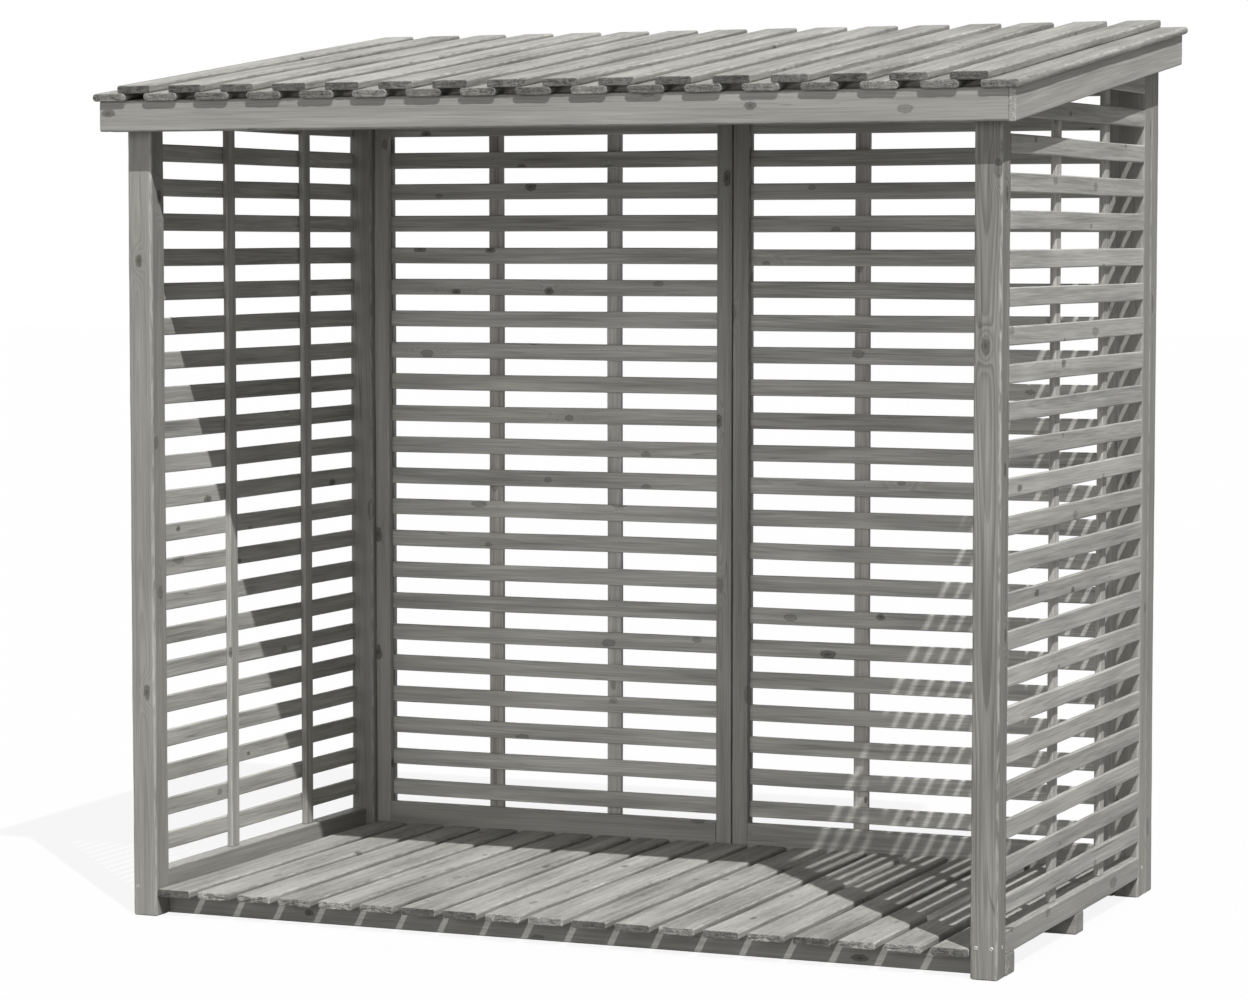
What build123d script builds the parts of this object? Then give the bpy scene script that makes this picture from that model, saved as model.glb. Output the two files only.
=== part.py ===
"""Open-fronted timber log store with slatted walls and a boarded lean-to roof.

The frame stands on the ground at Z = 0, the open front faces -Y, and the roof
falls towards the front. The origin is below the middle of the roof's plan.
"""
import os
from math import cos, radians, sin, tan

from build123d import *

# Overall sizes, in millimetres and degrees
clear_width = 2220.0
wall_depth = 1200.0
clear_height = 2043.0
roof_slope = 7.3

# Posts and floor frame
post_size = 70.0
post_round = 8.0
joist_width = 70.0
joist_height = 53.0
rail_width = 45.0
rail_height = 57.0

# Floor boards, laid front to back with gaps
floor_board_width = 95.0
floor_board_thickness = 20.0
floor_board_round = 5.0
floor_board_count = 19
floor_side_gap = 2.0
floor_back_gap = 2.0

# Slats of the side and back walls
slat_height = 46.0
slat_thickness = 12.0
slat_pitch = 91.0
slat_start = 150.0
right_panel_drop = 3.0

# Upright battens that tie the slats
batten_width = 43.0
batten_thickness = 16.0
side_batten_shares = (0.35, 0.715)
back_batten_shares = (1 / 3, 2 / 3)

# Frames of the two back panels
stile_width = 45.0
stile_thickness = 22.0
panel_setback = 20.0
panel_joint = 4.0
back_rail_height = 80.0

# Roof frame
fascia_height = 78.0
fascia_thickness = 18.0
beam_thickness = 37.0
purlin_width = 45.0
purlin_height = 95.0
barge_height = 80.0
barge_overhang = 30.0

# Roof boards, two layers with the upper ones over the gaps of the lower ones
roof_board_width = 96.0
roof_board_thickness = 20.0
lower_board_round = 9.0
upper_board_round = 5.0
lower_board_count = 17
board_nose = 12.0
board_side_nose = 13.0

# Places across the width
post_inner_x = clear_width / 2
post_outer_x = post_inner_x + post_size
slat_inner_x = post_outer_x - slat_thickness
barge_inner_x = post_outer_x + barge_overhang
barge_outer_x = barge_inner_x + fascia_thickness
roof_edge_x = barge_outer_x + board_side_nose

# Places from front to back, with the roof's plan centred on the origin
slope = radians(roof_slope)
eaves = board_nose + fascia_thickness + beam_thickness
frame_depth = 3 * post_size + wall_depth
roof_plan = frame_depth + 2 * eaves
layers_lean = 2 * roof_board_thickness * sin(slope)
roof_front_y = (layers_lean - roof_plan) / 2
roof_back_y = roof_front_y + roof_plan
fascia_front_y = roof_front_y + board_nose
beam_front_y = fascia_front_y + fascia_thickness
front_y = roof_front_y + eaves
wall_front_y = front_y + post_size
wall_back_y = wall_front_y + wall_depth
back_post_y = wall_back_y + post_size
rear_y = back_post_y + post_size
rear_fascia_y = rear_y + beam_thickness
barge_back_y = rear_fascia_y + fascia_thickness
stile_front_y = wall_back_y + panel_setback
back_slat_y = stile_front_y + stile_thickness
back_batten_y = back_slat_y + slat_thickness

# Heights
floor_top = joist_height + floor_board_thickness
rail_top = joist_height + rail_height
boards_level = clear_height + fascia_height
tall = boards_level + roof_plan
barge_depth = barge_height / cos(slope)


def under_roof(y):
    """Height of the lower boards' underside at a place from front to back."""
    return boards_level + (y - fascia_front_y) * tan(slope)


# Slats that fit below the top rails of the back panels
wall_slat_space = under_roof(stile_front_y) - back_rail_height - slat_start - slat_height
wall_slat_count = 1 + int(wall_slat_space // slat_pitch)

roof_plane = Plane(
    origin=(0, roof_front_y, under_roof(roof_front_y)),
    x_dir=(1, 0, 0),
    z_dir=(0, -sin(slope), cos(slope)),
)


def block(x_range, y_range, z_range):
    """Squared timber between two places on each axis."""
    low = (x_range[0], y_range[0], z_range[0])
    size = [high - start for start, high in zip(low, (x_range[1], y_range[1], z_range[1]))]
    return Pos(*low) * Box(*size, align=(Align.MIN, Align.MIN, Align.MIN))


def fitted(solid):
    """The part of a piece that lies under the roof boards."""
    return split(solid, bisect_by=roof_plane, keep=Keep.BOTTOM)


def mirrored(span, side):
    """A span across the width on the right, or its mirror on the left."""
    return span if side > 0 else (-span[1], -span[0])


def write(name, *solids):
    """Keep one node as a STEP file of one or more separate solids."""
    shape = solids[0] if len(solids) == 1 else Compound(children=list(solids))
    export_step(shape, f"parts/{name}.step")


def post(side, start_y):
    """Upright with rounded edges, cut to the roof's slope at its top."""
    profile = RectangleRounded(post_size, post_size, post_round)
    middle_x = side * (post_inner_x + post_outer_x) / 2
    column = extrude(Pos(middle_x, start_y + post_size / 2) * profile, amount=tall)
    return fitted(column)


def rounded_board(width, thickness, edge_round, length):
    """Board along +Y on Z = 0 with its long edges rounded over."""
    profile = Pos(0, thickness / 2) * RectangleRounded(width, thickness, edge_round)
    return extrude(Plane.XZ * profile, amount=length, dir=(0, 1, 0))


def joists():
    """Front and middle joists run from side to side, the back one between the rear posts."""
    full = (-post_outer_x, post_outer_x)
    short = (-post_inner_x, post_inner_x)
    middle_y = (wall_front_y + wall_back_y) / 2
    heights = (0, joist_height)
    return {
        "joist_front": block(full, (wall_front_y, wall_front_y + joist_width), heights),
        "joist_middle": block(full, (middle_y, middle_y + joist_width), heights),
        "joist_back": block(short, (wall_back_y, wall_back_y + joist_width), heights),
    }


def floor_boards():
    """Boards across the bay, from the posts' front faces to the back panels."""
    length = stile_front_y - floor_back_gap - front_y
    board = rounded_board(floor_board_width, floor_board_thickness, floor_board_round, length)
    reach = post_inner_x - floor_side_gap - floor_board_width / 2
    step = 2 * reach / (floor_board_count - 1)
    return [Pos(i * step - reach, front_y, joist_height) * board for i in range(floor_board_count)]


def side_slats(side):
    """Level slats between the posts, flush with their outer faces, cut off under the roof."""
    x_range = mirrored((slat_inner_x, post_outer_x), side)
    slats = []
    for i in range(wall_slat_count):
        start = slat_start + i * slat_pitch
        slats.append(fitted(block(x_range, (wall_front_y, wall_back_y), (start, start + slat_height))))
    return slats


def side_battens(side):
    """Two uprights on the inside of the slats, standing on the bottom rail."""
    x_range = mirrored((slat_inner_x - batten_thickness, slat_inner_x), side)
    battens = []
    for share in side_batten_shares:
        start = wall_front_y + share * wall_depth
        battens.append(fitted(block(x_range, (start, start + batten_width), (rail_top, tall))))
    return battens


def purlins():
    """Cross timbers behind the side battens, between the slats of the two walls."""
    pieces = []
    for share in side_batten_shares:
        start = wall_front_y + share * wall_depth + batten_width
        heights = (under_roof(start) - purlin_height, tall)
        pieces.append(fitted(block((-slat_inner_x, slat_inner_x), (start, start + purlin_width), heights)))
    return pieces


def back_panel_span(side):
    """The panel's ends across the width, from the centre joint to the post."""
    return mirrored((panel_joint / 2, post_inner_x), side)


def back_slats(side):
    """Level slats behind the panel's frame, the right panel hanging a little lower."""
    first = slat_start - (right_panel_drop if side > 0 else 0)
    slats = []
    for i in range(wall_slat_count):
        start = first + i * slat_pitch
        y_range = (back_slat_y, back_slat_y + slat_thickness)
        slats.append(block(back_panel_span(side), y_range, (start, start + slat_height)))
    return slats


def back_stiles(side):
    """Uprights at both ends of the panel, in front of the slats."""
    low, high = back_panel_span(side)
    y_range = (stile_front_y, back_slat_y)
    spans = ((low, low + stile_width), (high - stile_width, high))
    return [fitted(block(span, y_range, (joist_height, tall))) for span in spans]


def back_battens(side):
    """Uprights behind the slats: one at each end and two between."""
    low, high = back_panel_span(side)
    width = high - low
    starts = [low, high - batten_width]
    starts += [low + share * width - batten_width / 2 for share in back_batten_shares]
    y_range = (back_batten_y, back_batten_y + batten_thickness)
    return [fitted(block((x, x + batten_width), y_range, (joist_height, tall))) for x in starts]


def back_rails(side):
    """Bottom and top rails of the panel's frame, between its stiles."""
    low, high = back_panel_span(side)
    span = (low + stile_width, high - stile_width)
    y_range = (stile_front_y, back_slat_y)
    bottom = block(span, y_range, (joist_height, joist_height + back_rail_height))
    top = block(span, y_range, (under_roof(stile_front_y) - back_rail_height, tall))
    return bottom, fitted(top)


def side_rail(side):
    """Bottom rail of a side wall, on the joists and flush with the posts."""
    x_range = mirrored((post_outer_x - rail_width, post_outer_x), side)
    return block(x_range, (wall_front_y, wall_back_y), (joist_height, rail_top))


def eaves_timbers():
    """Beams on the posts' outer faces and the fascia boards over them."""
    inside = (-barge_inner_x, barge_inner_x)
    rear_bottom = under_roof(barge_back_y) - barge_depth
    timbers = {
        "beam_front": block(inside, (beam_front_y, front_y), (clear_height, tall)),
        "beam_rear": block(inside, (rear_y, rear_fascia_y), (rear_bottom, tall)),
        "fascia_front": block(
            (-barge_outer_x, barge_inner_x), (fascia_front_y, beam_front_y), (clear_height, tall)
        ),
        "fascia_rear": block(
            inside, (rear_fascia_y, barge_back_y), (rear_bottom, tall)
        ),
    }
    return {name: fitted(timber) for name, timber in timbers.items()}


def barge_board(side):
    """Board along the roof's edge; the right one also covers the fascia's end."""
    start = fascia_front_y if side > 0 else beam_front_y
    outline = Polyline(
        (start, under_roof(start) - barge_depth),
        (barge_back_y, under_roof(barge_back_y) - barge_depth),
        (barge_back_y, under_roof(barge_back_y)),
        (start, under_roof(start)),
        close=True,
    )
    face = Plane.YZ * make_face(outline)
    inner = barge_inner_x if side > 0 else -barge_outer_x
    return Pos(inner, 0, 0) * extrude(face, amount=fascia_thickness, dir=(1, 0, 0))


def roof_boards(count, level, edge_round):
    """One layer of boards down the slope, evenly spaced about the middle."""
    board = rounded_board(roof_board_width, roof_board_thickness, edge_round, roof_plan / cos(slope))
    pitch = (2 * roof_edge_x - roof_board_width) / (lower_board_count - 1)
    first = -pitch * (count - 1) / 2
    return [roof_plane * Pos(first + i * pitch, 0, level) * board for i in range(count)]


def main():
    """Write every piece of the log store as a node of its own."""
    os.makedirs("parts", exist_ok=True)
    for name, solid in {**joists(), **eaves_timbers()}.items():
        write(name, solid)
    write("floor_boards", *floor_boards())
    for word, side in (("left", -1), ("right", 1)):
        write(f"post_front_{word}", post(side, front_y))
        write(f"post_rear_{word}", post(side, wall_back_y))
        write(f"post_back_{word}", post(side, back_post_y))
        write(f"{word}_wall_rail", side_rail(side))
        write(f"{word}_wall_slats", *side_slats(side))
        write(f"{word}_wall_battens", *side_battens(side))
        write(f"back_{word}_slats", *back_slats(side))
        write(f"back_{word}_stiles", *back_stiles(side))
        write(f"back_{word}_battens", *back_battens(side))
        bottom, top = back_rails(side)
        write(f"back_{word}_rail_bottom", bottom)
        write(f"back_{word}_rail_top", top)
        write(f"barge_board_{word}", barge_board(side))
    write("purlins", *purlins())
    write("roof_boards_lower", *roof_boards(lower_board_count, 0, lower_board_round))
    write("roof_boards_upper", *roof_boards(lower_board_count - 1, roof_board_thickness, upper_board_round))


main()
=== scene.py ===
"""Log store of grey weathered softwood, dressed board by board around its frame.

Each node of the frame is replaced by timbers of the same size and place. A timber is a rounded
section carried along its length, with wandering edges, eased sawn ends and grain of its own.
"""

import logging
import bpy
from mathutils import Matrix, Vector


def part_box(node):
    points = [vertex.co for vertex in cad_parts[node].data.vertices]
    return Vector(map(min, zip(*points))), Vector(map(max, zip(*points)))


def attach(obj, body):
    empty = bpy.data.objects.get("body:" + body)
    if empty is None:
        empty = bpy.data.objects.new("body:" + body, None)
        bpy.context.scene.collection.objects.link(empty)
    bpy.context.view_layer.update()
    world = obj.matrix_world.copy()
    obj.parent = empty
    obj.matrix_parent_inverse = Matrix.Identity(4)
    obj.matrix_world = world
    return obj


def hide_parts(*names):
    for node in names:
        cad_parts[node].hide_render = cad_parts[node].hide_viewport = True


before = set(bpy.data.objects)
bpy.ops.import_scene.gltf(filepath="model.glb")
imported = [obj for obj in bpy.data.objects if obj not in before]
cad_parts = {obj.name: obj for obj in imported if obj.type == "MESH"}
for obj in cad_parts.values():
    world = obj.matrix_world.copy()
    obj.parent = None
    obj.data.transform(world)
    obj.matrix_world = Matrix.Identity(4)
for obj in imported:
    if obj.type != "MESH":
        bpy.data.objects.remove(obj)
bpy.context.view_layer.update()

import zlib
from dataclasses import dataclass, replace
from enum import Enum
from math import atan, pi, radians
from typing import Any, ClassVar, Optional, Sequence, Union

import bpy
import numpy as np
from mathutils import Vector

log = logging.getLogger("log_store")

X_AXIS, Y_AXIS, Z_AXIS = np.eye(3)

# Decimals of a metre to which two points of a node are one, and by which its solids are put in order.
WELD_DIGITS, ORDER_DIGITS = 5, 4
# Faces that meet at more than this angle show an edge.
SHARP_ANGLE = radians(38)
# Lengths of the sines that make an edge wander, in metres, and the share of each.
WANDER_WAVES = np.array([0.9, 0.41, 0.19, 0.083, 0.037])
WANDER_SHARES = np.array([0.5, 0.36, 0.26, 0.2, 0.14])
# A board's own number times this has a fraction that says how torn its sawn ends are.
TORN_STEP = 7.31
# Mean of every shader noise.
MIDDLE = 0.5
# Highest screen value, and the curve from screen values to linear light.
SCREEN_MOST, SCREEN_LIFT, SCREEN_POWER = 255, 0.055, 2.4
# How far blue lies behind red in the timber's own tint, where green lies behind by 1.
BLUE_LAG = 5.4
WHITE = (1.0, 1.0, 1.0, 1.0)

Span = tuple[float, float]
Triple = tuple[float, float, float]


class Side(Enum):
    """The two sides of the store, seen from its open front."""

    LEFT = -1
    RIGHT = 1

    @property
    def word(self) -> str:
        """The side's name as the nodes write it."""
        return self.name.lower()


class Sawing(Enum):
    """Where a timber lay in the tree."""

    FLAT = "the heart lies outside the section"
    HEART = "the heart runs inside the section"


@dataclass(frozen=True)
class Stock:
    """How one kind of timber is planed, sawn and bent. Lengths are in metres.

    Attributes:
        arris: Radius of the long edges.
        station: Spacing of sections along the length.
        flat: Spacing of points across a face.
        wave: How far a long edge wanders inwards.
        bow: How far the middle stands off a straight line.
        tilt: How far one end may sit off its place, across the widest face.
        tear: Roughness of the sawn ends.
        chew: How deep the lower edge of a torn end is notched.
        easing: Width of the broken edge round a sawn end.
        sawing: Where the timber lay in the tree.
    """

    arris: float
    station: float = 0.045
    flat: float = 0.014
    wave: float = 0.0006
    bow: float = 0.0006
    tilt: float = 0.0
    tear: float = 0.0003
    chew: float = 0.0
    easing: float = 0.0015
    sawing: Sawing = Sawing.FLAT


POST_STOCK = Stock(arris=0.008, station=0.035, wave=0.0009, bow=0.0005, easing=0.003, sawing=Sawing.HEART)
FRAME_STOCK = Stock(arris=0.003, wave=0.0007)
SLAT_STOCK = Stock(arris=0.0028, wave=0.0007, bow=0.0009, tilt=0.0012)
FASCIA_STOCK = Stock(arris=0.0035, station=0.03, wave=0.0008, bow=0.0004, easing=0.002)
FLOOR_STOCK = Stock(arris=0.005, station=0.034, flat=0.006, wave=0.0011, bow=0.0008, tear=0.0008, chew=0.004,
                    easing=0.0018)
LOWER_ROOF_STOCK = Stock(arris=0.009, station=0.036, flat=0.010, wave=0.0009, bow=0.0008, tear=0.0008,
                         easing=0.0018)
UPPER_ROOF_STOCK = replace(LOWER_ROOF_STOCK, arris=0.005)


@dataclass(frozen=True)
class Outline:
    """The points of a section and what belongs to each of them.

    Attributes:
        points: Places across and up, one row a point, anticlockwise.
        inward: Direction from a rounded edge into the timber.
        crest: 1 on the crest of a rounded edge, falling to 0 on the flats.
        corner: Number of the rounded edge that a point belongs to.
        girth: Distance round the section, with the whole way round as its last value.
        ARC_POINTS: How many points round a corner.
        SUPPORT: Distance of a support point from the end of its flat, in metres.
        SUPPORT_SHARE: The most that this may be, as a share of the flat.
    """

    points: np.ndarray
    inward: np.ndarray
    crest: np.ndarray
    corner: np.ndarray
    girth: np.ndarray

    ARC_POINTS: ClassVar[int] = 5
    SUPPORT: ClassVar[float] = 0.0012
    SUPPORT_SHARE: ClassVar[float] = 0.3

    @classmethod
    def rounded(cls, corners: np.ndarray, stock: Stock) -> "Outline":
        """Round the corners of a convex section.

        Each corner becomes the curve (1-s)^2 p + 2 s (1-s) c + s^2 q between its two tangent points p
        and q, and each flat gets evenly spaced points with one support point close to either end.

        Args:
            corners: The section's sharp corners, anticlockwise.
            stock: Kind of timber, for the radius and the spacing.

        Returns:
            The rounded section.
        """
        before = np.roll(corners, 1, axis=0) - corners
        after = np.roll(corners, -1, axis=0) - corners
        before /= np.linalg.norm(before, axis=1, keepdims=True)
        after /= np.linalg.norm(after, axis=1, keepdims=True)
        half_angle = np.arccos((before * after).sum(axis=1)) / 2
        reach = (stock.arris / np.tan(half_angle))[:, None]
        first, last = corners + before * reach, corners + after * reach
        s = np.linspace(0, 1, cls.ARC_POINTS)[None, :, None]
        arcs = (1 - s) ** 2 * first[:, None] + 2 * s * (1 - s) * corners[:, None] + s**2 * last[:, None]
        bisector = before + after
        bisector /= np.linalg.norm(bisector, axis=1, keepdims=True)
        arc_crest = (4 * s * (1 - s)).ravel()

        points, crests, numbers = [], [], []
        for k, start in enumerate(last):
            gap = first[(k + 1) % len(corners)] - start
            length = float(np.linalg.norm(gap))
            support = min(cls.SUPPORT / length, cls.SUPPORT_SHARE)
            parts = max(2, round(length / stock.flat))
            shares = np.concatenate(([support], np.linspace(0, 1, parts + 1)[1:-1], [1 - support]))
            points += [arcs[k], start + shares[:, None] * gap]
            crests += [arc_crest, np.zeros(len(shares))]
            numbers.append(np.full(len(arc_crest) + len(shares), k))
        ring = np.concatenate(points)
        corner = np.concatenate(numbers)
        steps = np.linalg.norm(np.roll(ring, -1, axis=0) - ring, axis=1)
        girth = np.concatenate(([0.0], np.cumsum(steps)))
        return cls(ring, bisector[corner], np.concatenate(crests), corner, girth)


@dataclass(frozen=True)
class Bar:
    """One straight timber: a section carried along its length.

    Attributes:
        start: Middle of the section at the near end.
        along: Direction of the length; it is across times up.
        across: First axis of the section.
        up: Second axis of the section.
        length: Length through the middle of the section.
        section: The section's sharp corners about its middle, anticlockwise.
        far_skew: Added length for each metre across and up, where the far end is cut aslant.
        under_roof: Whether the roof's underside cuts the timber along its length.
    """

    start: np.ndarray
    along: np.ndarray
    across: np.ndarray
    up: np.ndarray
    length: float
    section: np.ndarray
    far_skew: Span = (0.0, 0.0)
    under_roof: bool = False


def rectangle(width: float, thickness: float) -> np.ndarray:
    """Corners of a rectangle about its middle, anticlockwise."""
    return np.array([[-1, -1], [1, -1], [1, 1], [-1, 1]]) * np.array([width, thickness]) / 2


def torn_share(seed: Union[float, "Value"]) -> Union[float, "Value"]:
    """The part of a board's own number that says how torn its sawn ends are, before taking its fraction."""
    return seed * TORN_STEP


def wander(rng: np.random.Generator, rows: int, places: np.ndarray) -> np.ndarray:
    """Smooth noise between about -1 and 1: a sum of sines from long to short waves.

    Args:
        rng: Source of the phases.
        rows: How many separate lines of noise.
        places: Distances along the timber, in metres.

    Returns:
        One row of noise for each line, one column for each place.
    """
    phases = rng.uniform(0, 2 * pi, (rows, len(WANDER_WAVES), 1))
    turns = 2 * pi * places[None, None, :] / WANDER_WAVES[None, :, None] + phases
    return (WANDER_SHARES[None, :, None] * np.sin(turns)).sum(axis=1)


class Roof:
    """The plane of the roof boards' underside, read from the tops of two posts.

    Attributes:
        y: Place of the rear post's back.
        z: Height of the plane there.
        rise: Height gained for each metre towards the back.
        slope: Angle between the plane and the level.
    """

    def __init__(self) -> None:
        """Take the highest corners of a front and a rear post as points of the plane."""
        (_, front), (_, rear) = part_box("post_front_right"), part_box("post_rear_right")
        self.y, self.z = rear.y, rear.z
        self.rise = (rear.z - front.z) / (rear.y - front.y)
        self.slope = atan(self.rise)

    def under(self, y: Union[float, np.ndarray]) -> Union[float, np.ndarray]:
        """Height of the underside at a place from front to back."""
        return self.z + (y - self.y) * self.rise


ROOF = Roof()


def solid_boxes(node: str, axes: np.ndarray) -> list[tuple[np.ndarray, np.ndarray]]:
    """Boxes of a node's separate solids, measured along given axes.

    Points that share a triangle take the lowest number among them until nothing changes, so that each
    solid ends with one number.

    Args:
        node: Name of the node.
        axes: Three directions, one a row.

    Returns:
        The lowest and highest corner of each solid along the axes, in order of the lowest corners.
    """
    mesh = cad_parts[node].data
    points = np.empty(len(mesh.vertices) * 3)
    mesh.vertices.foreach_get("co", points)
    ends = np.empty(len(mesh.loops), dtype=np.int64)
    mesh.loops.foreach_get("vertex_index", ends)
    places, same = np.unique(points.reshape(-1, 3).round(WELD_DIGITS), axis=0, return_inverse=True)
    triangles = same.ravel()[ends].reshape(-1, 3)
    label = np.arange(len(places))
    while True:
        lowest = label.copy()
        np.minimum.at(lowest, triangles.ravel(), np.repeat(label[triangles].min(axis=1), 3))
        if (lowest == label).all():
            break
        label = lowest
    turned = places @ axes.T
    found = [turned[label == number] for number in np.unique(label)]
    boxes = [(solid.min(axis=0), solid.max(axis=0)) for solid in found]
    return sorted(boxes, key=lambda box: tuple(box[0].round(ORDER_DIGITS)))


def node_box(node: str) -> tuple[np.ndarray, np.ndarray]:
    """A node's lowest and highest corner."""
    low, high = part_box(node)
    return np.array(low), np.array(high)


class TimberMesh:
    """Timbers of one piece, gathered as arrays and joined into one mesh.

    Attributes:
        CAP: Sizes of the rings that close a sawn end, as shares of the section.
        WEAR: Mean wear of a long edge, as a share of its wave.
        HEART_REACH: How far the tree's heart may lie from the middle, as a share of the section.
        HEART_DEPTH: How much further it lies from a flat-sawn timber, at least and at most, in metres.
        HEART_DRIFT: How far it may stray for each metre along the timber.
        FAR: The most that a timber's pattern is moved on, so that no two timbers look alike.
        TORN_FROM: A board's ends are notched where its number for torn ends is above this.
        BITE_PITCH: How much faster the notches follow each other than an edge wanders.
        BITE_REACH: Distance from the end at which notches have mostly faded, in metres.
        BITE_LIFT: How far a notch lifts the lower edge, as a share of its depth.
    """

    CAP: ClassVar[np.ndarray] = np.array([0.3, 0.62, 0.88])
    WEAR: ClassVar[float] = 0.6
    HEART_REACH: ClassVar[float] = 0.3
    HEART_DEPTH: ClassVar[Span] = (0.02, 0.085)
    HEART_DRIFT: ClassVar[float] = 0.012
    FAR: ClassVar[float] = 90.0
    TORN_FROM: ClassVar[float] = 0.5
    BITE_PITCH: ClassVar[float] = 2.6
    BITE_REACH: ClassVar[float] = 0.012
    BITE_LIFT: ClassVar[float] = 0.7

    def __init__(self, name: str, stock: Stock) -> None:
        """Start an empty piece.

        Args:
            name: Name of the piece, which also seeds its noise.
            stock: Kind of timber.
        """
        self.name, self.stock = name, stock
        self.rng = np.random.default_rng(zlib.crc32(name.encode()))
        self.points: list[np.ndarray] = []
        self.loops: list[np.ndarray] = []
        self.sides: list[np.ndarray] = []
        self.skin: list[np.ndarray] = []
        self.place: list[np.ndarray] = []
        self.board: list[np.ndarray] = []
        self.mark: list[np.ndarray] = []
        self.count = 0

    def stations(self, length: float) -> tuple[np.ndarray, np.ndarray, np.ndarray]:
        """Where a timber's sections stand: rings that close each end, and even steps between them.

        Args:
            length: The timber's length.

        Returns:
            Each section's distance along the timber, its size as a share, and 1 if it is on a sawn end.
        """
        eased = self.stock.easing
        steps = max(2, round(length / self.stock.station))
        body = np.linspace(eased, length - eased, steps + 1)
        cap = np.ones(len(self.CAP) + 1)
        t = np.concatenate((0 * cap, body, length * cap))
        size = np.concatenate((self.CAP, np.ones(len(body) + 2), self.CAP[::-1]))
        end = np.concatenate((cap, np.zeros(len(body)), cap))
        return t, size, end

    def bend(self, share: np.ndarray, widest: int) -> np.ndarray:
        """How far a timber's middle stands off a straight line.

        It is half a wave and a whole wave along the length, and a lean across the widest face.

        Args:
            share: Places along the timber, as shares of its length.
            widest: Number of the section's longer axis.

        Returns:
            Two rows, across and up.
        """
        bends = self.rng.uniform(-1, 1, (2, 2)) * self.stock.bow
        off = bends[:, :1] * np.sin(pi * share) + bends[:, 1:] * np.sin(2 * pi * share)
        lean = self.rng.uniform(-1, 1, 2) * self.stock.tilt
        off[widest] += lean[0] * (1 - share) + lean[1] * share
        return off

    def heart_line(self, bar: Bar, t: np.ndarray) -> np.ndarray:
        """Distance of the tree's heart from the middle of the section, along the timber.

        The heart strays on a straight line, so that growth rings run out of the faces as nested arches.

        Args:
            bar: The timber.
            t: Distances along it.

        Returns:
            Two rows, across and up.
        """
        span = np.ptp(bar.section, axis=0)
        offset = self.rng.uniform(-self.HEART_REACH, self.HEART_REACH, 2) * span
        depth, turn = self.rng.uniform(*self.HEART_DEPTH), self.rng.uniform(0, 2 * pi)
        if self.stock.sawing is Sawing.FLAT:
            offset += depth * np.array([np.cos(turn), np.sin(turn)])
        drift = self.rng.uniform(-self.HEART_DRIFT, self.HEART_DRIFT, 2)
        return offset[:, None] + drift[:, None] * (t - bar.length / 2)[None, :]

    def add(self, bar: Bar) -> None:
        """Carry a timber's section along its length and keep the result.

        A point lies at start + along t + across a + up b, with a and b from the rounded section, drawn in
        at the ends and moved by the edge's wander and the timber's bow.

        Args:
            bar: The timber.
        """
        stock, rng = self.stock, self.rng
        outline = Outline.rounded(bar.section, stock)
        tone = np.array([rng.normal(0, 1), rng.normal(0, 1), rng.uniform(0, 1)])
        t, size, end = self.stations(bar.length)
        half = np.ptp(bar.section, axis=0) / 2
        scale = size[:, None] * (1 - end[:, None] * stock.easing / half)

        wear = stock.wave * (self.WEAR + wander(rng, outline.corner.max() + 1, t))[outline.corner].T
        drawn = outline.points[None] + (outline.crest * wear)[:, :, None] * outline.inward[None]
        a, b = np.moveaxis(drawn * scale[:, None, :], 2, 0)
        share = t / bar.length
        bow = self.bend(share, int(np.argmax(half)))
        skew = bar.far_skew[0] * a + bar.far_skew[1] * b
        torn = stock.tear * np.abs(rng.normal(0, 1, a.shape)) * end[:, None]
        inwards = np.where(share > 0.5, -1.0, 1.0)[:, None]
        if stock.chew and torn_share(tone[2]) % 1 > self.TORN_FROM:
            bite = self.bites(bar, outline, t)
            torn += bite
            b += bite * self.BITE_LIFT
        reach = t[:, None] + share[:, None] * skew + torn * inwards

        ring = (
            bar.start
            + reach[:, :, None] * bar.along
            + (a + bow[0][:, None])[:, :, None] * bar.across
            + (b + bow[1][:, None])[:, :, None] * bar.up
        )
        if bar.under_roof:
            ring[:, :, 2] = np.minimum(ring[:, :, 2], ROOF.under(ring[:, :, 1]))
        heart = self.heart_line(bar, t)
        place = np.stack((reach, a + heart[0][:, None], b + heart[1][:, None]), axis=2)
        place[:, :, 0] += rng.uniform(0, self.FAR)
        mark = np.stack((np.broadcast_to(outline.crest, a.shape) * (1 - end[:, None]),
                         np.broadcast_to(end[:, None], a.shape), np.zeros(a.shape)), axis=2)
        self.keep(ring, place, mark, tone, reach + rng.uniform(0, self.FAR),
                  outline.girth + rng.uniform(0, self.FAR))

    def bites(self, bar: Bar, outline: Outline, t: np.ndarray) -> np.ndarray:
        """Notches along the lower edge of both ends: short waves across the board, clipped at 0.

        They fade upwards to the middle of the section and along the board with the distance from its end.

        Args:
            bar: The timber.
            outline: Its rounded section.
            t: Distances along it.

        Returns:
            Depth of the notch at each point, one row a section.
        """
        across, up = outline.points.T
        waves = np.clip(wander(self.rng, 2, across * self.BITE_PITCH), 0, None)
        low = np.clip(-2 * up / np.ptp(bar.section[:, 1]), 0, 1)
        inside = np.minimum(t, bar.length - t)
        fade = np.exp(-inside / self.BITE_REACH)
        ends = (t > bar.length / 2).astype(int)
        return self.stock.chew * fade[:, None] * waves[ends] * low

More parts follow.
